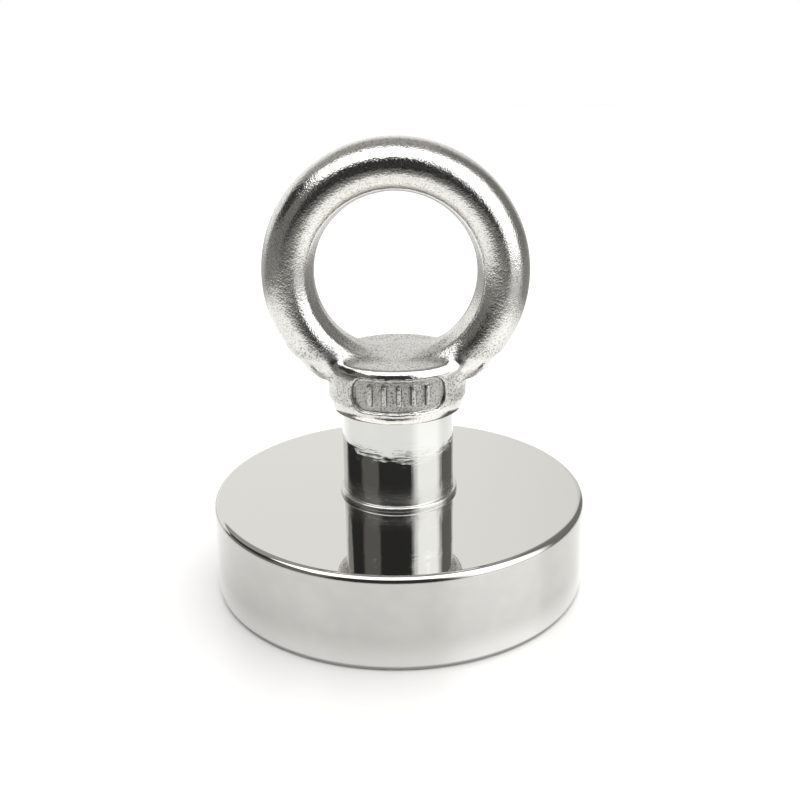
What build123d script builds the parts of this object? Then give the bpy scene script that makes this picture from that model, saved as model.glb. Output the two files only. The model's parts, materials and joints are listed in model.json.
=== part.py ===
"""Magnet fishing magnet: a nickel-plated pot magnet with a threaded bush and a screwed-in lifting eyebolt.

Millimetres, +Z up. The origin is the middle of the magnetic face, which is the face the magnet stands on.
The eyebolt's ring stands in the XZ plane, and its eye opens along Y. Everything else is turned about Z.
"""

import os
from math import radians, tan

from build123d import *

# ---- pot: the steel cup that closes the magnet's field ----
pot_diameter = 60.0
pot_height = 15.0
pot_wall = 5.0
pot_roof = 5.0
pot_top_round = 1.0
pot_rim_chamfer = 0.25

# ---- magnet and the resin that holds it in the cup ----
magnet_diameter = 48.0
face_recess = 0.15
resin_recess = 0.35
bond_thickness = 0.2
magnet_edge_chamfer = 0.4

# ---- threaded bush, pressed through the pot's roof and staked under it ----
bush_diameter = 17.8
bush_height = 15.0
bush_bead_diameter = 19.0
bush_bead_height = 0.7
bush_bead_round = 0.3
bush_top_chamfer = 0.4
spigot_diameter = 14.0
stake_depth = 0.8

# ---- M10 thread ----
thread_diameter = 10.0
thread_pitch = 1.5
thread_clearance = 0.05
thread_mouth = 0.8
thread_turns_shown = 10
shank_length = 18.0
shank_tip_chamfer = 1.2
shank_neck_length = 1.4
shank_root_in_collar = 1.0

# ---- eyebolt: ring, collar and shank forged as one piece, the eye trimmed to a land and two bevels ----
ring_outer_diameter = 41.0
ring_inner_diameter = 25.0
ring_depth = 10.8
ring_centre_height = 21.0
ring_inner_swell = 0.5
eye_land_width = 1.5
eye_trim_angle = 14.0
collar_diameter = 21.7
collar_seat_diameter = 20.6
collar_height = 8.4
collar_bottom_round = 1.0
collar_top_round = 1.2

# ---- marking pad on the front of the collar: a shallow recess with plain raised bars ----
pad_width = 15.6
pad_height = 5.2
pad_middle_height = 4.6
pad_corner_round = 2.3
pad_depth = 0.55
bar_count = 5
bar_spacing = 2.3
bar_width = 0.8
bar_height = 3.0
bar_drop = 0.05

# ---- worked out from the sizes above ----
pot_radius = pot_diameter / 2
cup_radius = pot_radius - pot_wall
cup_top = pot_height - pot_roof
magnet_radius = magnet_diameter / 2
magnet_top = cup_top - bond_thickness
bush_radius = bush_diameter / 2
bead_radius = bush_bead_diameter / 2
spigot_radius = spigot_diameter / 2
seat = pot_height + bush_height
bore_radius = thread_diameter / 2 + thread_clearance
crest_radius = thread_diameter / 2
thread_depth = 0.6134 * thread_pitch
groove_half_floor = thread_pitch / 8
groove_half_mouth = thread_pitch * 7 / 16
root_radius = crest_radius - thread_depth
shank_tip = seat - shank_length
ring_centre = seat + ring_centre_height
ring_outer_radius = ring_outer_diameter / 2
eye_radius = ring_inner_diameter / 2
ring_half_thickness = (ring_outer_radius - eye_radius + ring_inner_swell) / 2
ring_section_radius = ring_outer_radius - ring_half_thickness
eye_trim_rise = (ring_depth - eye_land_width / 2) * tan(radians(eye_trim_angle))
collar_radius = collar_diameter / 2
collar_top = seat + collar_height

os.makedirs("parts", exist_ok=True)

# ---- pot shell: a turned cup, open downwards, with a countersunk hole through its roof ----
with BuildPart() as pot_shell:
    with BuildSketch(Plane.XZ) as pot_profile:
        with BuildLine():
            Polyline(
                (spigot_radius, pot_height),
                (pot_radius, pot_height),
                (pot_radius, 0),
                (cup_radius, 0),
                (cup_radius, cup_top),
                (spigot_radius + stake_depth, cup_top),
                (spigot_radius, cup_top + stake_depth),
                close=True,
            )
        make_face()
        fillet(pot_profile.vertices().group_by(Axis.Y)[-1].sort_by(Axis.X)[-1], pot_top_round)
        chamfer(pot_profile.vertices().group_by(Axis.Y)[0], pot_rim_chamfer)
    revolve(axis=Axis.Z)
pot_shell.part.label = "pot_shell"
export_step(pot_shell.part, "parts/pot_shell.step")

# ---- magnet disc: plated neodymium, its face a little inside the rim ----
with BuildPart() as magnet_disc:
    with BuildSketch(Plane.XY.offset(face_recess)):
        Circle(magnet_radius)
    extrude(amount=magnet_top - face_recess)
    chamfer(magnet_disc.faces().sort_by(Axis.Z)[0].edges(), magnet_edge_chamfer)
magnet_disc.part.label = "magnet_disc"
export_step(magnet_disc.part, "parts/magnet_disc.step")

# ---- potting resin: fills the gap round the magnet and bonds it to the roof ----
with BuildPart() as potting_resin:
    with BuildSketch(Plane.XZ):
        with BuildLine():
            Polyline(
                (0, cup_top),
                (cup_radius, cup_top),
                (cup_radius, resin_recess),
                (magnet_radius, resin_recess + magnet_edge_chamfer),
                (magnet_radius, magnet_top),
                (0, magnet_top),
                close=True,
            )
        make_face()
    revolve(axis=Axis.Z)
potting_resin.part.label = "potting_resin"
export_step(potting_resin.part, "parts/potting_resin.step")

# ---- threaded bush: a bead at its foot, a spigot through the roof and a staked end ----
with BuildPart() as threaded_bush:
    with BuildSketch(Plane.XZ) as bush_profile:
        with BuildLine():
            Polyline(
                (bore_radius, cup_top),
                (spigot_radius + stake_depth, cup_top),
                (spigot_radius, cup_top + stake_depth),
                (spigot_radius, pot_height),
                (bead_radius, pot_height),
                (bead_radius, pot_height + bush_bead_height),
                (bush_radius, pot_height + bush_bead_height),
                (bush_radius, seat),
                (bore_radius, seat),
                close=True,
            )
        make_face()
        bead_corner = bush_profile.vertices().sort_by(Axis.X)[-2:].sort_by(Axis.Y)[-1]
        fillet(bead_corner, bush_bead_round)
        chamfer(bush_profile.vertices().group_by(Axis.Y)[-1].sort_by(Axis.X)[-1], bush_top_chamfer)
        chamfer(bush_profile.vertices().group_by(Axis.Y)[-1].sort_by(Axis.X)[0], thread_mouth)
    revolve(axis=Axis.Z)
threaded_bush.part.label = "threaded_bush"
export_step(threaded_bush.part, "parts/threaded_bush.step")

# ---- tool shapes for the marking pad, both as thick as the pad is deep ----
pad_floor_radius = collar_radius - pad_depth

with BuildPart() as pad_recess:
    with BuildSketch(Plane.XZ):
        with Locations((0, seat + pad_middle_height)):
            RectangleRounded(pad_width, pad_height, pad_corner_round)
    extrude(amount=collar_diameter)
    with BuildSketch():
        Circle(pad_floor_radius)
    extrude(amount=collar_top + collar_height, mode=Mode.SUBTRACT)

with BuildPart() as pad_bars:
    with BuildSketch(Plane.XZ):
        for index in range(bar_count):
            along = (index - (bar_count - 1) / 2) * bar_spacing
            with Locations((along, seat + pad_middle_height)):
                Rectangle(bar_width, bar_height)
    extrude(amount=collar_diameter)
    with BuildSketch():
        Circle(collar_radius - bar_drop)
    extrude(amount=collar_top + collar_height, mode=Mode.INTERSECT)

# ---- eyebolt: collar and shank turned about Z, the ring turned about the eye's own axis ----
with BuildPart() as eyebolt:
    with BuildSketch(Plane.XZ) as collar_profile:
        with BuildLine():
            Polyline(
                (0, collar_top),
                (collar_radius, collar_top),
                (collar_radius, seat + collar_bottom_round),
                (collar_seat_diameter / 2, seat),
                (0, seat),
                close=True,
            )
        make_face()
        fillet(collar_profile.vertices().group_by(Axis.Y)[-1].sort_by(Axis.X)[-1], collar_top_round)
    revolve(axis=Axis.Z)
    with BuildSketch(Plane.YZ) as ring_section:
        with Locations((0, ring_centre + ring_section_radius)):
            Ellipse(ring_depth / 2, ring_half_thickness)
        with BuildLine():
            Polyline(
                (-eye_land_width / 2, ring_centre + eye_radius),
                (eye_land_width / 2, ring_centre + eye_radius),
                (ring_depth, ring_centre + eye_radius + eye_trim_rise),
                (ring_depth, ring_centre + ring_outer_diameter),
                (-ring_depth, ring_centre + ring_outer_diameter),
                (-ring_depth, ring_centre + eye_radius + eye_trim_rise),
                close=True,
            )
        make_face(mode=Mode.INTERSECT)
    revolve(axis=Axis((0, 0, ring_centre), (0, 1, 0)))
    add(pad_recess.part, mode=Mode.SUBTRACT)
    add(pad_bars.part)
    with BuildSketch(Plane.XZ) as shank_profile:
        with BuildLine():
            Polyline(
                (0, seat + shank_root_in_collar),
                (root_radius, seat + shank_root_in_collar),
                (root_radius, seat - shank_neck_length),
                (crest_radius, seat - shank_neck_length - thread_depth),
                (crest_radius, shank_tip + shank_tip_chamfer),
                (crest_radius - shank_tip_chamfer, shank_tip),
                (0, shank_tip),
                close=True,
            )
        make_face()
    revolve(axis=Axis.Z)
    with BuildSketch(Plane.XZ) as thread_grooves:
        for turn in range(thread_turns_shown):
            groove_height = shank_tip + shank_tip_chamfer + (turn + 0.5) * thread_pitch
            with BuildLine():
                Polyline(
                    (root_radius, groove_height - groove_half_floor),
                    (root_radius, groove_height + groove_half_floor),
                    (crest_radius + thread_clearance, groove_height + groove_half_mouth),
                    (crest_radius + thread_clearance, groove_height - groove_half_mouth),
                    close=True,
                )
            make_face()
    revolve(axis=Axis.Z, mode=Mode.SUBTRACT)
eyebolt.part.label = "eyebolt"
export_step(eyebolt.part, "parts/eyebolt.step")
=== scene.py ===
"""The finished look of a magnet fishing magnet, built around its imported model.

Every length is in millimetres until a mesh is made, where it is turned to metres. The origin is the
middle of the magnetic face, +Z is up, and the ring of the eyebolt stands in the XZ plane.
"""

import json
import logging
import math
from collections.abc import Callable
from dataclasses import dataclass
from enum import Enum
from functools import reduce

import bmesh
import bpy
import numpy as np
import openvdb
from mathutils import Matrix, Vector


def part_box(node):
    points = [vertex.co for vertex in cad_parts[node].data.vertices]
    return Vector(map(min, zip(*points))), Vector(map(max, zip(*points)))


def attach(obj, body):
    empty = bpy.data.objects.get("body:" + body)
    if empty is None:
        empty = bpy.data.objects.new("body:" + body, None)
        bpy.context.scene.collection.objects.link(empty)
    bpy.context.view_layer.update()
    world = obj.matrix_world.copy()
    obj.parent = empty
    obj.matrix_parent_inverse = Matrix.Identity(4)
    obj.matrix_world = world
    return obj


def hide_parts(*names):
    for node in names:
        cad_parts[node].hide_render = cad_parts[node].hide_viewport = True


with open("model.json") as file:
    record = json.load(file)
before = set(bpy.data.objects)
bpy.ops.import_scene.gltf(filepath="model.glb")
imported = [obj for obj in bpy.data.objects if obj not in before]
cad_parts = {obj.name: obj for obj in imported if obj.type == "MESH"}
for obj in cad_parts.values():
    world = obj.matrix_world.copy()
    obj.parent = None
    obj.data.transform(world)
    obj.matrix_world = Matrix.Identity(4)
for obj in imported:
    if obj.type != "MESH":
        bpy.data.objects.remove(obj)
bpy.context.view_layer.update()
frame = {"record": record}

MM = 0.001
LOG = logging.getLogger("magnet")

Range = tuple[float, float]
Triple = tuple[float, float, float]
Points = np.ndarray
Distance = Callable[[Points], Points]
Tree = bpy.types.NodeTree
Node = bpy.types.Node
Socket = bpy.types.NodeSocket
Sockets = bpy.types.bpy_prop_collection
Object = bpy.types.Object

WHOLE: Range = (0.0, 1.0)
NO_BUMP: Triple = (0.0, 0.0, 0.0)
TINY = 1e-9
# The sockets of a Mix node that hold its share, its two colours and its result.
MIX_SHARE, MIX_FIRST, MIX_SECOND, MIX_RESULT = 0, 6, 7, 2


class Body(Enum):
    """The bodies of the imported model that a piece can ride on."""

    MAGNET = "magnet_body"
    EYEBOLT = "eyebolt"


def linear(colour: str) -> tuple[float, float, float, float]:
    """Turn an sRGB hex colour to a linear one.

    Args:
        colour: six hex digits after a hash sign.

    Returns:
        Red, green, blue and alpha, from 0 to 1.
    """
    parts = [int(colour[i : i + 2], 16) / 255 for i in (1, 3, 5)]
    bent = [c / 12.92 if c <= 0.04045 else ((c + 0.055) / 1.055) ** 2.4 for c in parts]
    return (*bent, 1.0)


def add_node(tree: Tree, kind: str, inputs: dict | None = None, **settings) -> Node:
    """Add a node with its settings, and fill or link its inputs.

    Args:
        tree: the tree that gets the node.
        kind: the node's type name.
        inputs: input name or number to a value, an sRGB hex colour, or the socket that feeds it.
        **settings: the node's own properties.

    Returns:
        The new node.
    """
    made = tree.nodes.new(kind)
    for name, value in settings.items():
        setattr(made, name, value)
    for key, value in (inputs or {}).items():
        if isinstance(value, Socket):
            tree.links.new(value, made.inputs[key])
        else:
            made.inputs[key].default_value = linear(value) if isinstance(value, str) else value
    return made


def math_node(tree: Tree, operation: str, *values: float | Socket) -> Socket:
    """Work out one number from others, by an operation as Blender names it."""
    return add_node(tree, "ShaderNodeMath", dict(enumerate(values)), operation=operation).outputs[0]


def product(tree: Tree, *values: float | Socket) -> Socket:
    """Multiply numbers together."""
    return reduce(lambda first, second: math_node(tree, "MULTIPLY", first, second), values)


def split(tree: Tree, place: Socket) -> Sockets:
    """Split a place into its X, Y and Z."""
    return add_node(tree, "ShaderNodeSeparateXYZ", {"Vector": place}).outputs


def stretched(tree: Tree, place: Socket, scale: Triple, turn: float = 0.0) -> Socket:
    """Scale a place, then turn it about Z, so that noise is drawn out along the axes scaled down."""
    inputs = {"Vector": place, "Rotation": (0.0, 0.0, turn), "Scale": scale}
    return add_node(tree, "ShaderNodeMapping", inputs).outputs[0]


def mix_shaders(tree: Tree, share: Socket, first: Node, second: Node) -> Node:
    """Mix two shaders by a share from 0 to 1."""
    return add_node(tree, "ShaderNodeMixShader", {0: share, 1: first.outputs[0], 2: second.outputs[0]})


def fresh_tree(owner: bpy.types.Material | bpy.types.World) -> Tree:
    """Give a material or a world an empty node tree.

    Args:
        owner: the material or the world.

    Returns:
        Its node tree.
    """
    owner.use_nodes = True
    owner.node_tree.nodes.clear()
    return owner.node_tree


def new_object(name: str, data: bpy.types.ID) -> Object:
    """Make an object at the origin and link it to the scene.

    Args:
        name: the object's name.
        data: its mesh or camera.

    Returns:
        The object.
    """
    made = bpy.data.objects.new(name, data)
    bpy.context.scene.collection.objects.link(made)
    return made


# ---- Finishes ----


@dataclass(frozen=True)
class Noise:
    """A noise pattern: about how far across its lumps are, in millimetres, and how much detail it has."""

    size: float
    detail: float = 2.0


@dataclass(frozen=True)
class Finish:
    """What every finish shares: a name, a colour and how rough its surface is."""

    name: str
    colour: str
    roughness: float
    metallic: float = 1.0

    def material(self) -> bpy.types.Material:
        """Make the material, with its pattern drawn by the finish itself.

        Returns:
            The material.
        """
        made = bpy.data.materials.new(self.name)
        tree = fresh_tree(made)
        place = add_node(tree, "ShaderNodeTexCoord").outputs["Object"]
        inputs = {"Base Color": self.colour, "Metallic": self.metallic, "Roughness": self.roughness}
        shader = add_node(tree, "ShaderNodeBsdfPrincipled", inputs)
        self.draw(tree, shader, place)
        add_node(tree, "ShaderNodeOutputMaterial", {"Surface": shader.outputs[0]})
        return made

    def draw(self, tree: Tree, shader: Node, place: Socket) -> None:
        """Add the finish's own pattern.

        Args:
            tree: the material's nodes.
            shader: the material's shader.
            place: a point's place, in metres.
        """
        raise NotImplementedError

    @staticmethod
    def grain(tree: Tree, place: Socket, noise: Noise) -> Socket:
        """Draw a noise pattern, from 0 to 1 around a half."""
        inputs = {"Vector": place, "Scale": 1 / (noise.size * MM), "Detail": noise.detail}
        return add_node(tree, "ShaderNodeTexNoise", inputs).outputs["Fac"]

    @staticmethod
    def spread(tree: Tree, value: Socket, source: Range, target: Range = WHOLE) -> Socket:
        """Map a number from one range to another, smoothly and held at both ends.

        Args:
            tree: the material's nodes.
            value: the number's socket.
            source: the range it comes from, either way round.
            target: the range it is mapped to.

        Returns:
            The mapped number's socket.
        """
        if source[0] > source[1]:
            source, target = source[::-1], target[::-1]
        inputs = {"Value": value, "From Min": source[0], "From Max": source[1]}
        inputs |= {"To Min": target[0], "To Max": target[1]}
        return add_node(tree, "ShaderNodeMapRange", inputs, interpolation_type="SMOOTHSTEP").outputs[0]

    @classmethod
    def band(cls, tree: Tree, length: Socket, source: Range, target: Range = WHOLE) -> Socket:
        """Map a length in metres from a range in millimetres."""
        return cls.spread(tree, length, (source[0] * MM, source[1] * MM), target)

    @classmethod
    def near(cls, tree: Tree, height: Socket, levels: tuple[float, ...], fade: Range) -> Socket:
        """Pick out the heights near some levels.

        Args:
            tree: the material's nodes.
            height: a point's height, in metres.
            levels: the levels, in millimetres.
            fade: the distances from a level where the mark is 0 and where it is 1, in millimetres.

        Returns:
            The mark, from 0 to 1.
        """
        mark: float | Socket = 0.0
        for level in levels:
            away = math_node(tree, "ABSOLUTE", math_node(tree, "SUBTRACT", height, level * MM))
            mark = math_node(tree, "MAXIMUM", cls.band(tree, away, fade), mark)
        return mark

    @staticmethod
    def tint(tree: Tree, share: Socket, first: str | Socket, second: str | Socket) -> Socket:
        """Mix two colours, each an sRGB hex, a linear colour or a socket, by a share from 0 to 1."""
        inputs = {MIX_SHARE: share, MIX_FIRST: first, MIX_SECOND: second}
        return add_node(tree, "ShaderNodeMix", inputs, data_type="RGBA").outputs[MIX_RESULT]

    @staticmethod
    def relief(tree: Tree, height: Socket, depth: float, below: Socket | Triple = NO_BUMP) -> Socket:
        """Add bump of a real depth in millimetres, on top of another bump if there is one."""
        inputs = {"Height": height, "Distance": depth * MM, "Strength": 1.0, "Normal": below}
        return add_node(tree, "ShaderNodeBump", inputs).outputs["Normal"]


@dataclass(frozen=True)
class BrightNickel(Finish):
    """Nickel plating on a ground and buffed steel pot: a warm mirror with the faintest waviness."""

    waves: Noise = Noise(9.0, 0.0)
    wave_depth: float = 0.004
    side_band: Range = (14.8, 14.2)
    # Painted shade: the wall's colour is darker than the roof's.
    wall_painted_shade_colour: str = "#B6B5B2"
    side_haze: float = 0.13
    # Painted light: the wall grows lighter over its lowest 5.5 millimetres.
    lower_wall_light_band: Range = (5.5, 0.0)
    lower_wall_painted_light_colour: str = "#DBDAD8"
    bloom: Noise = Noise(3.2, 6.0)
    bloom_from: Range = (0.38, 0.72)
    bloom_share: Range = (0.0, 0.22)
    bloom_colour: str = "#C8C6BF"
    # Painted contact shadow: the wall darkens over its lowest millimetre, where it meets the table.
    foot_band: Range = (0.9, 0.5)
    contact_shadow_colour: str = "#8E8D8A"
    lines: Noise = Noise(0.16)
    line_depth: float = 0.0016
    line_stretch: float = 0.03

    def draw(self, tree: Tree, shader: Node, place: Socket) -> None:
        """Leave the roof a mirror; give the wall fine tool lines, a haze, a mottled bloom, painted shade,
        painted light towards its foot and a painted contact shadow at its base.

        Args:
            tree: the material's nodes.
            shader: the material's shader.
            place: a point's place, in metres.
        """
        height = split(tree, place)["Z"]
        side = self.band(tree, height, self.side_band)
        rim = self.band(tree, height, self.lower_wall_light_band)
        foot = self.band(tree, height, self.foot_band)
        bloom = self.spread(tree, self.grain(tree, place, self.bloom), self.bloom_from, self.bloom_share)
        # Painted shade and light on the wall: darker than the roof, lighter towards its foot.
        wall = self.tint(tree, rim, self.wall_painted_shade_colour, self.lower_wall_painted_light_colour)
        wall = self.tint(tree, bloom, wall, self.bloom_colour)
        # Painted contact shadow along the base of the wall.
        wall = self.tint(tree, foot, wall, self.contact_shadow_colour)
        tree.links.new(self.tint(tree, side, self.colour, wall), shader.inputs["Base Color"])
        rough = self.spread(tree, side, WHOLE, (self.roughness, self.side_haze))
        tree.links.new(rough, shader.inputs["Roughness"])
        waves = self.relief(tree, self.grain(tree, place, self.waves), self.wave_depth)
        turned = stretched(tree, place, (self.line_stretch, self.line_stretch, 1.0))
        lines = product(tree, self.grain(tree, turned, self.lines), side)
        tree.links.new(self.relief(tree, lines, self.line_depth, waves), shader.inputs["Normal"])


@dataclass(frozen=True)
class TurnedNickel(Finish):
    """Nickel plating on a turned bush: a mirror with broken rings from the lathe tool."""

    rings: Noise = Noise(0.38, 3.0)
    ring_depth: float = 0.055
    ring_stretch: float = 0.09
    patches: Noise = Noise(3.6)
    patches_from: Range = (0.36, 0.6)
    patches_share: Range = (0.1, 1.0)
    scuffs_at: tuple[float, ...] = (24.0, 17.2)
    scuffs_fade: Range = (3.4, 0.0)
    foot_band: Range = (19.8, 16.6)
    foot_haze: float = 0.36
    facets: Noise = Noise(1.3, 3.0)
    facet_depth: float = 0.034
    facet_stretch: float = 0.02

    def draw(self, tree: Tree, shader: Node, place: Socket) -> None:
        """Scuff broken rings into two bands, and lay faint upright facets where the bar was drawn.

        Args:
            tree: the material's nodes.
            shader: the material's shader.
            place: a point's place, in metres.
        """
        height = split(tree, place)["Z"]
        around = stretched(tree, place, (self.ring_stretch, self.ring_stretch, 1.0))
        rings = self.grain(tree, around, self.rings)
        patches = self.grain(tree, place, self.patches)
        patches = self.spread(tree, patches, self.patches_from, self.patches_share)
        scuffs = product(tree, rings, patches, self.near(tree, height, self.scuffs_at, self.scuffs_fade))
        haze = product(tree, self.band(tree, height, self.foot_band), rings, self.foot_haze)
        tree.links.new(math_node(tree, "ADD", haze, self.roughness), shader.inputs["Roughness"])
        upright = stretched(tree, place, (1.0, 1.0, self.facet_stretch))
        facets = self.relief(tree, self.grain(tree, upright, self.facets), self.facet_depth)
        tree.links.new(self.relief(tree, scuffs, self.ring_depth, facets), shader.inputs["Normal"])


@dataclass(frozen=True)
class TumbledSteel(Finish):
    """Stainless forging, tumbled with ceramic media: grainy on the collar, polished on the ring."""

    collar_roughness: float = 0.32
    blast: Noise = Noise(0.26, 1.5)
    blast_depth: float = 0.05
    specks_from: Range = (0.53, 0.33)
    worn_share: float = 0.25
    ring_grain: float = 0.85
    ring_specks: float = 0.5
    dents: Noise = Noise(1.6)
    dent_depth: float = 0.045
    speckle_colour: str = "#82807B"
    # Painted shade in the sunken marking pad: darkest along the pad's walls, lighter on its floor.
    pad_shade_colour: str = "#6E6C68"
    pad_wall: Range = (10.66, 10.82)
    pad_floor: Range = (10.26, 10.42)
    floor_share: float = 0.3
    pad_shade_outside: Range = (10.0, 10.15)
    pad_shade_front: Range = (-5.5, -6.0)
    pad_heights: Range = (31.9, 37.3)
    polish_band: Range = (38.6, 43.0)
    worn_edges: tuple[float, ...] = (30.9, 37.7)
    worn_fade: Range = (1.5, 0.5)
    worn_outside: Range = (9.4, 9.9)

    def draw(self, tree: Tree, shader: Node, place: Socket) -> None:
        """Leave the blasted grain on the collar, rub the ring and the collar's edges bright, and paint
        shade into the marking pad.

        Args:
            tree: the material's nodes.
            shader: the material's shader.
            place: a point's place, in metres.
        """
        parts = split(tree, place)
        polish = self.band(tree, parts["Z"], self.polish_band)
        level, depth = (math_node(tree, "POWER", parts[axis], 2.0) for axis in "XY")
        radius = math_node(tree, "SQRT", math_node(tree, "ADD", level, depth))
        outside = self.band(tree, radius, self.worn_outside)
        worn = product(tree, self.near(tree, parts["Z"], self.worn_edges, self.worn_fade), outside)
        rubbed = math_node(tree, "MAXIMUM", polish, worn)
        rough = self.spread(tree, rubbed, WHOLE, (self.collar_roughness, self.roughness))
        tree.links.new(rough, shader.inputs["Roughness"])

        fine = self.grain(tree, place, self.blast)
        clean = self.spread(tree, worn, WHOLE, (1.0, self.worn_share))
        on_ring = self.spread(tree, polish, WHOLE, (1.0, self.ring_specks))
        specks = product(tree, self.spread(tree, fine, self.specks_from), clean, on_ring)
        shade = self.tint(tree, specks, self.colour, self.speckle_colour)
        # Painted shade in the marking pad.
        shade = self.tint(tree, self.painted_pad_shade(tree, parts, radius), shade, self.pad_shade_colour)
        tree.links.new(shade, shader.inputs["Base Color"])

        lumps = product(tree, fine, clean, self.spread(tree, polish, WHOLE, (1.0, self.ring_grain)))
        dents = self.relief(tree, self.grain(tree, place, self.dents), self.dent_depth)
        tree.links.new(self.relief(tree, lumps, self.blast_depth, dents), shader.inputs["Normal"])

    def painted_pad_shade(self, tree: Tree, parts: Sockets, radius: Socket) -> Socket:
        """Pick out the sunken marking pad for painted shade, darkest along its walls and lighter on its
        floor.

        Args:
            tree: the material's nodes.
            parts: a point's X, Y and Z, in metres.
            radius: its distance from the Z axis, in metres.

        Returns:
            How much painted shade the point gets, from 0 to 1.
        """
        return product(
            tree,
            self.band(tree, radius, self.pad_wall, WHOLE[::-1]),
            self.band(tree, radius, self.pad_floor, (self.floor_share, 1.0)),
            self.band(tree, radius, self.pad_shade_outside),
            self.band(tree, parts["Y"], self.pad_shade_front),
            math_node(tree, "GREATER_THAN", parts["Z"], self.pad_heights[0] * MM),
            math_node(tree, "LESS_THAN", parts["Z"], self.pad_heights[1] * MM),
        )


@dataclass(frozen=True)
class SatinPlating(Finish):
    """Nickel, copper and nickel plating on a pressed magnet: satin, with handling scratches."""

    clouds: Noise = Noise(6.0, 4.0)
    clouds_from: Range = (0.3, 0.7)
    cloud_haze: float = 0.16
    scratches: Noise = Noise(0.7, 3.0)
    scratch_depth: float = 0.004
    scratch_stretch: float = 0.04
    scratch_turn: float = 0.6

    def draw(self, tree: Tree, shader: Node, place: Socket) -> None:
        """Add cloudy roughness and fine lines one way, from sliding on steel.

        Args:
            tree: the material's nodes.
            shader: the material's shader.
            place: a point's place, in metres.
        """
        clouds = self.grain(tree, place, self.clouds)
        rough = (self.roughness, self.roughness + self.cloud_haze)
        haze = self.spread(tree, clouds, self.clouds_from, rough)
        tree.links.new(haze, shader.inputs["Roughness"])
        along = stretched(tree, place, (self.scratch_stretch, 1.0, 1.0), self.scratch_turn)
        lines = self.grain(tree, along, self.scratches)
        tree.links.new(self.relief(tree, lines, self.scratch_depth), shader.inputs["Normal"])


@dataclass(frozen=True)
class PottedEpoxy(Finish):
    """Filled black epoxy, poured and cured: half-gloss, with a sagging skin."""

    filler: Noise = Noise(0.35, 3.0)
    filler_from: Range = (0.55, 0.75)
    filler_colour: str = "#3A3A3C"
    skin: Noise = Noise(3.0, 4.0)
    skin_depth: float = 0.05

    def draw(self, tree: Tree, shader: Node, place: Socket) -> None:
        """Add a soft uneven skin, with a grey filler that shows through in specks.

        Args:
            tree: the material's nodes.
            shader: the material's shader.
            place: a point's place, in metres.
        """
        filler = self.spread(tree, self.grain(tree, place, self.filler), self.filler_from)
        shade = self.tint(tree, filler, self.colour, self.filler_colour)
        tree.links.new(shade, shader.inputs["Base Color"])
        skin = self.grain(tree, place, self.skin)
        tree.links.new(self.relief(tree, skin, self.skin_depth), shader.inputs["Normal"])


@dataclass(frozen=True)
class FinishSet:
    """The finishes of the object, one for each kind of surface."""

    pot: Finish = BrightNickel("bright_nickel_on_buffed_steel", "#CBCAC6", 0.035)
    bush: Finish = TurnedNickel("bright_nickel_on_turned_steel", "#CBCBC8", 0.045)
    eyebolt: Finish = TumbledSteel("tumbled_stainless_forging", "#D4D3CF", 0.12)
    magnet: Finish = SatinPlating("satin_nickel_on_magnet", "#B9B8B6", 0.24)
    resin: Finish = PottedEpoxy("black_potting_epoxy", "#131315", 0.38, 0.0)


# ---- Meshes ----


@dataclass(frozen=True)
class Corner:
    """A corner of a turned profile: its radius from the axis, its height, and how round it is."""

    radius: float
    height: float
    round: float = 0.0


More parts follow.
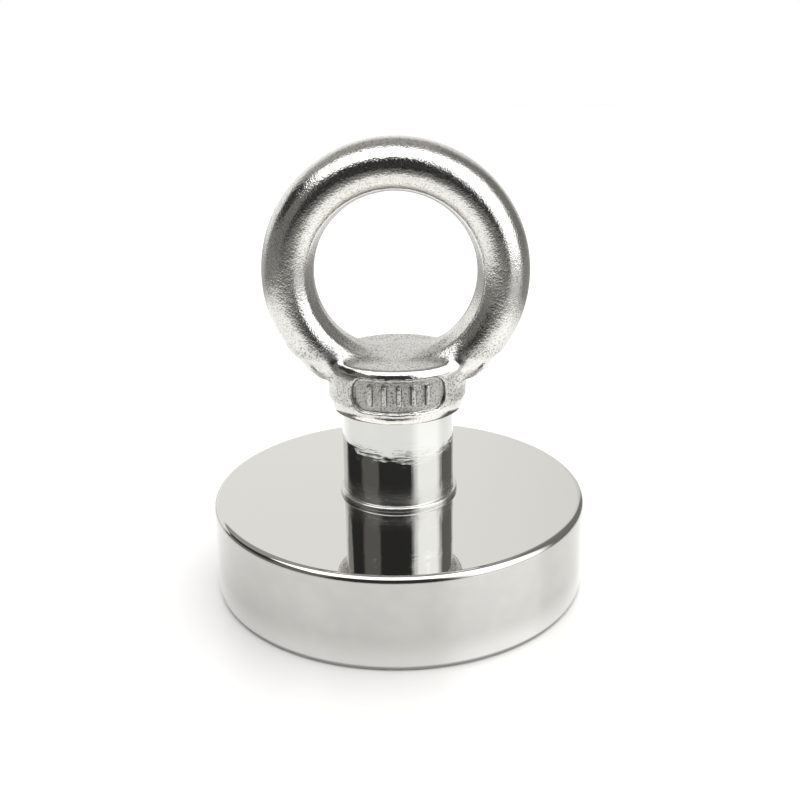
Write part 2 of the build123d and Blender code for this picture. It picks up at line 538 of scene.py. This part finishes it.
class Lathe:
    """Turns profiles about Z with a Geometry Nodes tree, as pieces turned on a lathe are made.

    GUARD is the width of the strip beside an arc, HUB the radius of the circle that a profile is swept
    round, and MERGE and SEAM are the gaps that get welded, all in millimetres.
    """

    ARC_STEPS = 8
    GUARD = 0.06
    HUB = 1.0
    MERGE = 0.0005
    SEAM = 0.00025

    def __init__(self, steps: int = 288) -> None:
        """Build the tree for pieces with some number of faces round them."""
        self.steps = steps
        self.tree = self._build()

    def _build(self) -> Tree:
        """Make the tree, which sweeps a profile round a small hub and so places it at its own radius.

        Returns:
            The tree.
        """
        tree = bpy.data.node_groups.new("turned_profile", "GeometryNodeTree")
        face = tree.interface
        face.new_socket("Geometry", in_out="OUTPUT", socket_type="NodeSocketGeometry")
        kinds = {"Profile": "Object", "Steps": "Int", "Hub Radius": "Float", "Merge Distance": "Float"}
        for name, kind in (kinds | {"Material": "Material"}).items():
            face.new_socket(name, in_out="INPUT", socket_type=f"NodeSocket{kind}")
        given = tree.nodes.new("NodeGroupInput").outputs
        profile = add_node(tree, "GeometryNodeObjectInfo", {"Object": given["Profile"]})
        outline = add_node(tree, "GeometryNodeMeshToCurve", {"Mesh": profile.outputs["Geometry"]})
        hub = {"Resolution": given["Steps"], "Radius": given["Hub Radius"]}
        path = add_node(tree, "GeometryNodeCurvePrimitiveCircle", hub)
        sweep = {"Curve": path.outputs["Curve"], "Profile Curve": outline.outputs["Curve"]}
        turned = add_node(tree, "GeometryNodeCurveToMesh", sweep)
        weld = {"Geometry": turned.outputs["Mesh"], "Distance": given["Merge Distance"]}
        welded = add_node(tree, "GeometryNodeMergeByDistance", weld)
        real = add_node(tree, "GeometryNodeRealizeInstances", {"Geometry": welded.outputs["Geometry"]})
        dress = {"Geometry": real.outputs["Geometry"], "Material": given["Material"]}
        dressed = add_node(tree, "GeometryNodeSetMaterial", dress)
        add_node(tree, "NodeGroupOutput", {"Geometry": dressed.outputs["Geometry"]})
        return tree

    def outline(self, corners: list[Corner], closed: bool) -> list[tuple[float, float]]:
        """Round the corners of a profile, with a narrow guard strip beside each arc.

        Args:
            corners: the profile's corners in order.
            closed: whether the last corner joins the first.

        Returns:
            Radius and height of each point.
        """
        points: list[tuple[float, float]] = []
        count = len(corners)
        for index, corner in enumerate(corners):
            here = Vector((corner.radius, corner.height))
            at_end = not closed and index in (0, count - 1)
            if at_end or corner.round <= 0:
                points.append((here.x, here.y))
                continue
            before, after = corners[index - 1], corners[(index + 1) % count]
            back = (Vector((before.radius, before.height)) - here).normalized()
            ahead = (Vector((after.radius, after.height)) - here).normalized()
            half = back.angle(ahead) / 2
            reach = corner.round / math.tan(half)
            centre = here + (back + ahead).normalized() * (corner.round / math.sin(half))
            start, end = here + back * reach, here + ahead * reach
            points.append(tuple(start + back * self.GUARD))
            first, last = (start - centre).normalized(), (end - centre).normalized()
            for step in range(self.ARC_STEPS + 1):
                ray = first.slerp(last, step / self.ARC_STEPS)
                points.append(tuple(centre + ray * corner.round))
            points.append(tuple(end + ahead * self.GUARD))
        return points

    def turn(self, name: str, corners: list[Corner], closed: bool, finish: Finish) -> Object:
        """Turn a profile into a closed, smooth piece.

        Args:
            name: the piece's name.
            corners: the profile's corners in order.
            closed: whether the profile is a loop, as on a piece with a hole through it.
            finish: what the piece is dressed in.

        Returns:
            The finished object, at the origin.
        """
        outline = self.outline(corners, closed)
        points = [((radius - self.HUB) * MM, height * MM) for radius, height in outline]
        edges = [(i, i + 1) for i in range(len(points) - 1)]
        if closed:
            edges.append((len(points) - 1, 0))
        shape = bpy.data.meshes.new(name + "_profile")
        shape.from_pydata([(reach, -height, 0.0) for reach, height in points], edges, [])
        holder = new_object(name + "_profile", shape)
        blank = new_object(name + "_turning", bpy.data.meshes.new(name + "_turning"))
        values = {
            "Profile": holder,
            "Steps": self.steps,
            "Hub Radius": self.HUB * MM,
            "Merge Distance": self.MERGE * MM,
            "Material": finish.material(),
        }
        mesh = apply_tree(blank, self.tree, values)
        bpy.data.objects.remove(holder)
        return make_piece(name, mesh)


def apply_tree(blank: Object, tree: Tree, values: dict) -> bpy.types.Mesh:
    """Run a Geometry Nodes tree once and keep its result as a plain mesh.

    Args:
        blank: an object to run it on, which is then removed.
        tree: the tree.
        values: the tree's inputs, by name.

    Returns:
        The mesh.
    """
    modifier = blank.modifiers.new("shape", "NODES")
    modifier.node_group = tree
    for item in tree.interface.items_tree:
        if item.in_out == "INPUT" and item.name in values:
            modifier[item.identifier] = values[item.name]
    evaluated = blank.evaluated_get(bpy.context.evaluated_depsgraph_get())
    mesh = bpy.data.meshes.new_from_object(evaluated)
    bpy.data.objects.remove(blank)
    return mesh


def make_piece(name: str, mesh: bpy.types.Mesh) -> Object:
    """Close a mesh's seams, point its faces outwards, shade it smooth and place it at the origin.

    Args:
        name: the piece's name.
        mesh: its mesh.

    Returns:
        The piece.
    """
    work = bmesh.new()
    work.from_mesh(mesh)
    bmesh.ops.remove_doubles(work, verts=work.verts, dist=Lathe.SEAM * MM)
    bmesh.ops.recalc_face_normals(work, faces=work.faces)
    for face in work.faces:
        face.smooth = True
    work.to_mesh(mesh)
    work.free()
    mesh.name = name
    return new_object(name, mesh)


def soft_min(first: Points, second: Points, reach: float) -> Points:
    """Join two distance fields, with a fillet where their surfaces are within reach of each other."""
    share = np.maximum(reach - np.abs(first - second), 0.0) / reach
    return np.minimum(first, second) - share**3 * reach / 6


def soft_max(first: Points, second: Points, reach: float) -> Points:
    """Keep what two distance fields share, with the edge between them eased over reach."""
    return -soft_min(-first, -second, reach)


def rounded_box(across: Points, along: Points, half: Range, corner: float) -> Points:
    """Distance from a flat rectangle of two half sizes, centred on zero and rounded at its corners."""
    out = np.abs((across, along)) - (np.array(half) - corner)[:, None]
    return np.hypot(*np.maximum(out, 0.0)) + np.minimum(out.max(0), 0.0) - corner


def oval(across: Points, along: Points, half: Range) -> Points:
    """Distance from an oval of two half sizes, centred on zero, exact near its edge."""
    scale = np.hypot(across / half[0], along / half[1])
    return scale * (scale - 1) / (np.hypot(across / half[0] ** 2, along / half[1] ** 2) + TINY)


def cone(radius: Points, up: Points, start: Range, angle: float) -> Points:
    """Distance from a cone that leans in downwards by degrees from upright, through a radius and height."""
    lean = math.radians(angle)
    return (radius - start[0]) * math.cos(lean) - (up - start[1]) * math.sin(lean)


class FieldMesher:
    """Meshes the zero surface of a distance field, then settles every vertex exactly on it.

    PROBE is the step, in millimetres, over which a slope is measured. MARGIN is how many spacings of the
    grid lie beyond the surface, and BACKGROUND is the distance stored there, in spacings.
    """

    SETTLING_STEPS = 3
    PROBE = 0.01
    LEAST_SLOPE = 0.05
    MARGIN = 3
    BACKGROUND = 4

    def __init__(self, spacing: float) -> None:
        """Set the grid's spacing, in millimetres."""
        self.spacing = spacing

    def mesh(self, name: str, distance: Distance, low: Vector, high: Vector) -> bpy.types.Mesh:
        """Mesh a field between two corners.

        Args:
            name: the mesh's name.
            distance: signed distance in millimetres at each point, below 0 in the metal.
            low: the lowest corner of the space that holds the surface.
            high: the highest corner.

        Returns:
            A closed mesh in metres.
        """
        margin = self.MARGIN * self.spacing
        axes = [np.arange(low[i] - margin, high[i] + margin, self.spacing) for i in range(3)]
        grid = np.empty([len(a) for a in axes], np.float32)
        across = np.stack(np.meshgrid(axes[0], axes[1], indexing="ij"), -1)
        for layer, height in enumerate(axes[2]):
            points = np.concatenate([across, np.full((*across.shape[:2], 1), height)], -1)
            grid[:, :, layer] = distance(points.reshape(-1, 3)).reshape(across.shape[:2])
        volume = openvdb.FloatGrid(self.BACKGROUND * self.spacing)
        volume.copyFromArray(grid)
        points, quads = volume.convertToQuads(isovalue=0.0)
        places = points * self.spacing + np.array([a[0] for a in axes])
        places = self._settle(places.astype(float), distance)
        made = bpy.data.meshes.new(name)
        made.from_pydata((places * MM).tolist(), [], quads.tolist())
        return made

    def _settle(self, places: Points, distance: Distance) -> Points:
        """Move points along the field's slope until they lie on its zero surface.

        Args:
            places: the points.
            distance: the field.

        Returns:
            The moved points.
        """
        for _ in range(self.SETTLING_STEPS):
            slope = np.empty_like(places)
            for axis in range(3):
                step = np.zeros(3)
                step[axis] = self.PROBE
                slope[:, axis] = (distance(places + step) - distance(places - step)) / (2 * self.PROBE)
            steep = np.maximum((slope**2).sum(1), self.LEAST_SLOPE)
            places = places - slope * (distance(places) / steep)[:, None]
        return places


# ---- Sub-assemblies ----


def cad_size(node: str) -> tuple[Vector, Vector]:
    """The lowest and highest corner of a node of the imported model, in millimetres."""
    low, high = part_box(node)
    return low / MM, high / MM


def settle(piece: Object, body: Body, node: str) -> Object:
    """Let a finished piece ride on its body and stand for its node.

    Args:
        piece: the piece.
        body: the body that it rides on.
        node: the node that it stands for.

    Returns:
        The same piece.
    """
    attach(piece, body.value)
    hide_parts(node)
    return piece


@dataclass
class MagnetBody:
    """The pot, the magnet potted into it and the bush through its roof, all turned about Z."""

    lathe: Lathe
    finishes: FinishSet
    wall: float = 5.0
    roof: float = 5.0
    top_round: float = 1.0
    rim_round: float = 0.55
    spigot_radius: float = 7.0
    stake: float = 0.8
    bore_radius: float = 5.05
    bush_radius: float = 8.9
    bead_height: float = 0.7
    bead_round: float = 0.3
    bead_root: float = 0.12
    bush_top_round: float = 0.35
    thread_mouth: float = 0.8
    edge_break: float = 0.05
    cup_corner: float = 0.3
    magnet_top_round: float = 0.2
    magnet_face_round: float = 0.4
    resin_sag: float = 0.25
    resin_climb: float = 0.6

    def pot(self) -> Object:
        """Build the steel cup, open downwards, with its top edge rolled over.

        Returns:
            The piece.
        """
        _, high = cad_size("pot_shell")
        radius, top = high.x, high.z
        cup, ceiling = radius - self.wall, top - self.roof
        corners = [
            Corner(self.spigot_radius, top, self.edge_break),
            Corner(radius, top, self.top_round),
            Corner(radius, 0.0, self.rim_round),
            Corner(cup, 0.0, self.rim_round),
            Corner(cup, ceiling, self.cup_corner),
            Corner(self.spigot_radius + self.stake, ceiling),
            Corner(self.spigot_radius, ceiling + self.stake),
        ]
        piece = self.lathe.turn("pot", corners, True, self.finishes.pot)
        return settle(piece, Body.MAGNET, "pot_shell")

    def magnet(self) -> Object:
        """Build the magnet disc, with the small edge break that plating needs.

        Returns:
            The piece.
        """
        low, high = cad_size("magnet_disc")
        corners = [
            Corner(0.0, high.z),
            Corner(high.x, high.z, self.magnet_top_round),
            Corner(high.x, low.z, self.magnet_face_round),
            Corner(0.0, low.z),
        ]
        piece = self.lathe.turn("magnet", corners, False, self.finishes.magnet)
        return settle(piece, Body.MAGNET, "magnet_disc")

    def resin(self) -> Object:
        """Build the resin: a ring that sags between magnet and wall, and the bond over the magnet.

        Returns:
            The piece.
        """
        low, high = cad_size("potting_resin")
        magnet_low, magnet_high = cad_size("magnet_disc")
        corners = [
            Corner(0.0, high.z),
            Corner(high.x, high.z, self.cup_corner),
            Corner(high.x, low.z),
            Corner((high.x + magnet_high.x) / 2, low.z + self.resin_sag, self.magnet_face_round),
            Corner(magnet_high.x, magnet_low.z + self.resin_climb),
            Corner(magnet_high.x, magnet_high.z, self.magnet_top_round),
            Corner(0.0, magnet_high.z),
        ]
        piece = self.lathe.turn("resin", corners, False, self.finishes.resin)
        return settle(piece, Body.MAGNET, "potting_resin")

    def bush(self) -> Object:
        """Build the bush: bead and barrel above the roof, staked spigot below it, bored through.

        Returns:
            The piece.
        """
        low, high = cad_size("threaded_bush")
        roof_top = cad_size("pot_shell")[1].z
        corners = [
            Corner(self.bore_radius, low.z, self.edge_break),
            Corner(self.spigot_radius + self.stake, low.z),
            Corner(self.spigot_radius, low.z + self.stake),
            Corner(self.spigot_radius, roof_top),
            Corner(high.x, roof_top, self.edge_break),
            Corner(high.x, roof_top + self.bead_height, self.bead_round),
            Corner(self.bush_radius, roof_top + self.bead_height, self.bead_root),
            Corner(self.bush_radius, high.z, self.bush_top_round),
            Corner(self.bore_radius + self.thread_mouth, high.z, self.edge_break),
            Corner(self.bore_radius, high.z - self.thread_mouth, self.edge_break),
        ]
        piece = self.lathe.turn("bush", corners, True, self.finishes.bush)
        return settle(piece, Body.MAGNET, "threaded_bush")

    def build(self) -> list[Object]:
        """Build the four pieces."""
        return [self.pot(), self.magnet(), self.resin(), self.bush()]


class Places:
    """Points, with their coordinates and their distance from the Z axis, in millimetres."""

    def __init__(self, points: Points) -> None:
        """Split the points into their coordinates."""
        self.across, self.depth, self.height = points.T
        self.radius = np.hypot(self.across, self.depth)


@dataclass
class Eyebolt:
    """The lifting eyebolt: ring, collar and shank in one forging, as one smooth field of distance.

    Each cone of the collar's foot has an inset from the collar's radius, a height over the seat and a
    lean in degrees.
    """

    finishes: FinishSet
    mesher: FieldMesher
    ring_depth: float = 10.8
    inner_swell: float = 0.5
    land_width: float = 1.5
    trim_angle: float = 14.0
    crease: float = 0.25
    eye_ease: float = 0.2
    leg_blend: float = 2.8
    leg_start: float = 0.8
    leg_slope: float = 0.35
    leg_ease: float = 0.3
    collar_height: float = 8.4
    collar_top_round: float = 1.2
    collar_top_drop: float = 2.2
    collar_foot: tuple[Triple, ...] = (
        (0.0, 1.7, 10.5),
        (0.19, 0.66, 24.0),
        (0.32, 0.2, 48.0),
    )
    foot_ease: float = 0.18
    pad_width: float = 15.6
    pad_offset: float = 0.55
    pad_height: float = 5.3
    pad_middle: float = 4.5
    pad_corner: float = 2.3
    pad_depth: float = 0.55
    pad_edge: float = 0.1
    pad_lip: float = 0.2
    bar_count: int = 5
    bar_spacing: float = 2.3
    bar_width: float = 0.8
    bar_height: float = 3.2
    bar_drop: float = 0.05
    pitch: float = 1.5
    tooth_share: float = 0.6134
    crest_share: float = 0.125
    flank_share: float = 0.3125
    flank_angle: float = 30.0
    thread_radius: float = 4.97
    root_in_collar: float = 1.0
    neck: float = 1.4
    tip_chamfer: float = 1.2

    def __post_init__(self) -> None:
        """Read the eye, the collar and the shank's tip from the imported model."""
        low, high = cad_size("eyebolt")
        eye = next(m for m in frame["record"]["mounts"] if m["name"] == "eye")
        self.eye_radius = eye["dims"]["r_mm"]
        self.centre = eye["pos_m"][2] / MM
        self.outer_radius = high.z - self.centre
        self.collar_radius = high.y
        self.tip = low.z
        self.seat = cad_size("threaded_bush")[1].z
        self.low, self.high = low, high

    def ring(self, at: Places) -> Points:
        """Distance from the ring: an oval section round the eye, trimmed inside to a land and bevels.

        Args:
            at: the points.

        Returns:
            Signed distance of each point.
        """
        half_wall = (self.outer_radius - self.eye_radius + self.inner_swell) / 2
        from_eye = np.hypot(at.across, at.height - self.centre)
        from_middle = from_eye - (self.outer_radius - half_wall)
        section = oval(from_middle, at.depth, (half_wall, self.ring_depth / 2))
        angle = math.radians(self.trim_angle)
        bevel = np.maximum(np.abs(at.depth) - self.land_width / 2, 0.0) * math.tan(angle)
        trim = (self.eye_radius + bevel - from_eye) * math.cos(angle)
        return soft_max(section, trim, self.crease)

    def legs(self, at: Places) -> Points:
        """Distance from the ring without the stretch that the collar swallows."""
        floor = self.seat + self.collar_height + self.leg_start - self.leg_slope * np.abs(at.across)
        return soft_max(self.ring(at), floor - at.height, self.leg_ease)

    def collar(self, at: Places) -> Points:
        """Distance from the collar: a short cylinder, rolled over at its top and drawn in at its foot.

        Args:
            at: the points.

        Returns:
            Signed distance of each point.
        """
        up = at.height - self.seat
        out_r = at.radius - (self.collar_radius - self.collar_top_round)
        out_z = up - (self.collar_height - self.collar_top_drop)
        flat = np.maximum(out_r - self.collar_top_round, out_z - self.collar_top_drop)
        rolled = oval(out_r, out_z, (self.collar_top_round, self.collar_top_drop))
        shape = np.where((out_r > 0) & (out_z > 0), rolled, flat)
        for inset, start, angle in self.collar_foot:
            face = cone(at.radius, up, (self.collar_radius - inset, start), angle)
            shape = soft_max(shape, face, self.foot_ease)
        return np.maximum(shape, -up)

    def marking(self, shape: Points, at: Places) -> Points:
        """Sink the marking pad into the collar's front and raise its plain bars.

        Args:
            shape: signed distance of each point from the plain forging.
            at: the points.

        Returns:
            Signed distance of each point from the marked forging.
        """
        up = at.height - self.seat - self.pad_middle
        around = np.arctan2(at.across, -at.depth) * self.collar_radius - self.pad_offset
        pad = rounded_box(around, up, (self.pad_width / 2, self.pad_height / 2), self.pad_corner)
        recess = soft_max(pad, self.collar_radius - self.pad_depth - at.radius, self.pad_edge)
        shape = soft_max(shape, -recess, self.pad_lip)
        for index in range(self.bar_count):
            along = around - (index - (self.bar_count - 1) / 2) * self.bar_spacing
            bar = rounded_box(along, up, (self.bar_width / 2, self.bar_height / 2), self.bar_width / 2)
            raised = soft_max(bar, at.radius - self.collar_radius + self.bar_drop, self.pad_edge)
            shape = soft_min(shape, raised, self.pad_edge)
        return shape

    def shank(self, at: Places) -> Points:
        """Distance from the shank, with its right-hand thread, its neck and its chamfered tip.

        Args:
            at: the points.

        Returns:
            Signed distance of each point.
        """
        turns = (at.height - self.seat) / self.pitch - np.arctan2(at.depth, at.across) / math.tau
        phase = np.abs(turns - np.floor(turns) - 0.5)
        tooth_depth = self.tooth_share * self.pitch
        root = self.thread_radius - tooth_depth
        ridge = np.clip((phase - self.crest_share) / self.flank_share, 0.0, 1.0) * tooth_depth
        top = self.seat - self.neck
        fade = np.clip(top - at.height, 0.0, tooth_depth)
        threaded = (at.radius - root - np.minimum(ridge, fade)) * math.cos(math.radians(self.flank_angle))
        tip = (at.radius - self.thread_radius + self.tip_chamfer - (at.height - self.tip)) * math.sqrt(0.5)
        ends = np.maximum(self.tip - at.height, at.height - self.seat - self.root_in_collar)
        return np.maximum(np.maximum(threaded, tip), ends)

    def distance(self, points: Points) -> Points:
        """Distance from the whole forging.

        Args:
            points: the points, in millimetres.

        Returns:
            Signed distance of each point.
        """
        at = Places(points)
        shape = soft_min(self.legs(at), self.collar(at), self.leg_blend)
        from_eye = np.hypot(at.across, at.height - self.centre)
        shape = soft_max(shape, self.eye_radius - from_eye, self.eye_ease)
        return np.minimum(self.marking(shape, at), self.shank(at))

    def build(self) -> list[Object]:
        """Mesh and dress the forging.

        Returns:
            The forging alone.
        """
        mesh = self.mesher.mesh("eyebolt_forging", self.distance, self.low, self.high)
        mesh.materials.append(self.finishes.eyebolt.material())
        piece = make_piece("eyebolt_forging", mesh)
        return [settle(piece, Body.EYEBOLT, "eyebolt")]


# ---- Studio ----


@dataclass(frozen=True)
class Card:
    """A flat card or softbox, far away, that lights the object and shows in its reflections.

    Azimuth is 0 towards the front and grows to the right, in degrees. Left, right, bottom and top are
    the card's edges, as degrees from its middle.
    """

    azimuth: float
    elevation: float
    left: float
    right: float
    bottom: float
    top: float
    light: float
    colour: str = "#FFFFFF"
    feather: float = 0.03


@dataclass(frozen=True)
class Studio:
    """A white table, a dark room in front of it and soft lights over and beside it.

    Rays that leave a mirror see the room and its cards, scattered rays see a leaning dome, and the camera
    sees white.
    """

    BOUNCED = 0.5
    LEAST_FACING = 1e-3

    room_light: float = 0.05
    dome_light: float = 1.65
    dome_lean: Triple = (0.45, 0.25, 0.0)
    table_half: float = 900.0
    table_colour: str = "#F3F3F2"
    seen_colour: str = "#E8E7E5"
    # Painted light: a pool of light round the object, dimming to a darker colour away from it, seen only in
    # reflections and bounced light.
    painted_falloff_colour: str = "#7E7D7A"
    pool_from: float = 98.0
    pool_to: float = 165.0
    pool_shift: float = -28.0
    hidden_radius: float = 29.2
    table_roughness: float = 0.27
    table_gloss: float = 0.9
    cards: tuple[Card, ...] = (
        Card(180, 0, -62, 62, -40, 34, 1.14, "#FFFFFE", 0.05),
        Card(140, 0, -40, 30, -40, 34, 0.86, "#FFFEFC", 0.35),
        Card(180, 56, -50, 50, -22, 21, 0.50, "#F4F2EE", 0.06),
        Card(120, 10, -26, 30, -30, 45, 0.28, "#F4F2EE", 0.10),
        Card(-60, 20, -18, 19, -40, 32, 0.24, "#F6F4F0", 0.06),
        Card(-99, 2, -22, 22, -20, 12, 0.32, "#F4F2EE", 0.08),
        Card(66, 22, -28, 28, -30, 44, 2.25, "#FCFDFF", 0.2),
        Card(0, 90, -48, 58, -38, 9, 2.6, "#FFFFFF", 0.06),
        Card(0, -90, -75, 75, -75, 75, 0.8, "#FFFFFF", 0.3),
    )

    def world(self) -> None:
        """Draw the room, the cards and the white backdrop that only the camera sees."""
        world = bpy.data.worlds.new("studio")
        bpy.context.scene.world = world
        tree = fresh_tree(world)
        ray = add_node(tree, "ShaderNodeTexCoord").outputs["Generated"]
        light: Socket | None = None
        for card in self.cards:
            light = self._card(tree, ray, card, light)
        path = add_node(tree, "ShaderNodeLightPath").outputs
        mirrored = add_node(tree, "ShaderNodeBackground", {"Color": light, "Strength": 1.0})
        white = {"Color": (1.0, 1.0, 1.0, 1.0)}
        leaning = self._dot(tree, ray, self.dome_lean)
        strength = math_node(tree, "MULTIPLY_ADD", leaning, self.dome_light, self.dome_light)
        dome = add_node(tree, "ShaderNodeBackground", {**white, "Strength": strength})
        seen = add_node(tree, "ShaderNodeBackground", {**white, "Strength": 1.0})
        scattered = math_node(tree, "GREATER_THAN", path["Diffuse Depth"], self.BOUNCED)
        lit = mix_shaders(tree, scattered, mirrored, dome)
        mixed = mix_shaders(tree, path["Is Camera Ray"], lit, seen)
        add_node(tree, "ShaderNodeOutputWorld", {"Surface": mixed.outputs[0]})
        world.cycles.sampling_method = "NONE"

    @staticmethod
    def _dot(tree: Tree, ray: Socket, way: Vector | Triple) -> Socket:
        """Work out how far a ray goes along a way."""
        made = add_node(tree, "ShaderNodeVectorMath", {0: ray, 1: way}, operation="DOT_PRODUCT")
        return made.outputs["Value"]

    def _card(self, tree: Tree, ray: Socket, card: Card, under: Socket | None) -> Socket:
        """Lay one card over what is drawn so far.

        Args:
            tree: the world's nodes.
            ray: the direction looked in.
            card: the card.
            under: the light so far, or None for the bare room.

        Returns:
            The light with the card in it.
        """
        turn, rise = math.radians(card.azimuth), math.radians(card.elevation)
        level = Vector((math.sin(turn), -math.cos(turn), 0.0))
        ahead = level * math.cos(rise) + Vector((0, 0, math.sin(rise)))
        up = Vector((0, 0, math.cos(rise))) - level * math.sin(rise)
        side = Vector((math.cos(turn), math.sin(turn), 0.0))
        facing, across, along = (self._dot(tree, ray, way) for way in (ahead, side, up))
        safe = math_node(tree, "MAXIMUM", facing, self.LEAST_FACING)
        mask = math_node(tree, "GREATER_THAN", facing, self.LEAST_FACING)
        for reach, low, high in ((across, card.left, card.right), (along, card.bottom, card.top)):
            slope = math_node(tree, "DIVIDE", reach, safe)
            for edge, sign in ((low, 1.0), (high, -1.0)):
                limit = math.tan(math.radians(edge)) * sign
                inputs = {
                    "Value": math_node(tree, "MULTIPLY", slope, sign),
                    "From Min": limit - card.feather,
                    "From Max": limit + card.feather,
                }
                step = add_node(tree, "ShaderNodeMapRange", inputs, interpolation_type="SMOOTHSTEP")
                mask = math_node(tree, "MULTIPLY", mask, step.outputs[0])
        colour = [c * card.light for c in linear(card.colour)[:3]]
        bare = under if under is not None else (self.room_light,) * 3 + (1.0,)
        return Finish.tint(tree, mask, bare, (*colour, 1.0))

    def table(self) -> None:
        """Lay the white table top, clear from below and under the pot so that the underside shows. Outside
        the camera's own view it carries a painted pool of light that dims away from the object.
        """
        half = self.table_half * MM
        mesh = bpy.data.meshes.new("table_top")
        corners = [(-half, -half, 0), (half, -half, 0), (half, half, 0), (-half, half, 0)]
        mesh.from_pydata(corners, [], [(0, 1, 2, 3)])
        material = bpy.data.materials.new("matt_white_laminate")
        tree = fresh_tree(material)
        place = add_node(tree, "ShaderNodeTexCoord").outputs["Object"]
        middle = {0: place, 1: (self.pool_shift * MM, 0.0, 0.0)}
        away = add_node(tree, "ShaderNodeVectorMath", middle, operation="DISTANCE").outputs["Value"]
        # Painted pool of light: the table fades darker away from a point left of the middle.
        dim = Finish.band(tree, away, (self.pool_from, self.pool_to))
        pool = Finish.tint(tree, dim, self.table_colour, self.painted_falloff_colour)
        seen = add_node(tree, "ShaderNodeLightPath").outputs["Is Camera Ray"]
        colour = Finish.tint(tree, seen, pool, self.seen_colour)
        inputs = {"Base Color": colour, "Roughness": self.table_roughness}
        inputs["Specular IOR Level"] = self.table_gloss
        shader = add_node(tree, "ShaderNodeBsdfPrincipled", inputs)
        clear = add_node(tree, "ShaderNodeBsdfTransparent")
        below = add_node(tree, "ShaderNodeNewGeometry").outputs["Backfacing"]
        reach = add_node(tree, "ShaderNodeVectorMath", {0: place}, operation="LENGTH").outputs["Value"]
        hidden = math_node(tree, "LESS_THAN", reach, self.hidden_radius * MM)
        mixed = mix_shaders(tree, math_node(tree, "MAXIMUM", below, hidden), shader, clear)
        add_node(tree, "ShaderNodeOutputMaterial", {"Surface": mixed.outputs[0]})
        mesh.materials.append(material)
        new_object("table_top", mesh)

    def build(self) -> None:
        """Set the stage and the plain view transform."""
        self.world()
        self.table()
        bpy.context.scene.view_settings.view_transform = "Standard"


@dataclass(frozen=True)
class Camera:
    """The camera: its distance from the pot's top face, and how it is aimed at it.

    The focal length and how far the aim lies off the middle of the frame are shares of the sensor.
    """

    distance: float = 174.5
    azimuth: float = 1.62
    elevation: float = 24.88
    focal_share: float = 1.3213
    drop: float = 0.1089
    shift: float = -0.0015
    roll: float = 0.90
    sensor: float = 36.0
    clip: Range = (0.01, 20.0)

    def build(self) -> Object:
        """Place the camera. The pot's top face lies a little below the middle of the frame.

        Returns:
            The camera.
        """
        top = cad_size("pot_shell")[1].z
        rise, roll = math.radians(self.elevation), math.radians(self.roll)
        turn = Matrix.Rotation(math.radians(self.azimuth), 4, "Z")
        stand = turn @ Matrix.Rotation(math.pi / 2 - rise, 4, "X")
        lift, back = (Matrix.Translation((0, 0, z * MM)) for z in (top, self.distance))
        place = lift @ stand @ back
        data = bpy.data.cameras.new("camera")
        data.sensor_width = self.sensor
        data.lens = self.sensor * self.focal_share
        data.clip_start, data.clip_end = self.clip
        camera = new_object("camera", data)
        tilt, pan = math.atan(self.drop / self.focal_share), math.atan(self.shift / self.focal_share)
        aim = Matrix.Rotation(tilt, 4, "X") @ Matrix.Rotation(pan, 4, "Y")
        camera.matrix_world = place @ Matrix.Rotation(-roll, 4, "Z") @ aim
        bpy.context.scene.camera = camera
        return camera


def main() -> None:
    """Build the studio and every sub-assembly, and report each piece."""
    logging.basicConfig(level=logging.INFO, format="%(name)s: %(message)s")
    Camera().build()
    Studio().build()
    finishes = FinishSet()
    assemblies = (MagnetBody(Lathe(), finishes), Eyebolt(finishes, FieldMesher(0.26)))
    for assembly in assemblies:
        for piece in assembly.build():
            LOG.info("%s: %d faces", piece.name, len(piece.data.polygons))


if __name__ == "__main__":
    main()
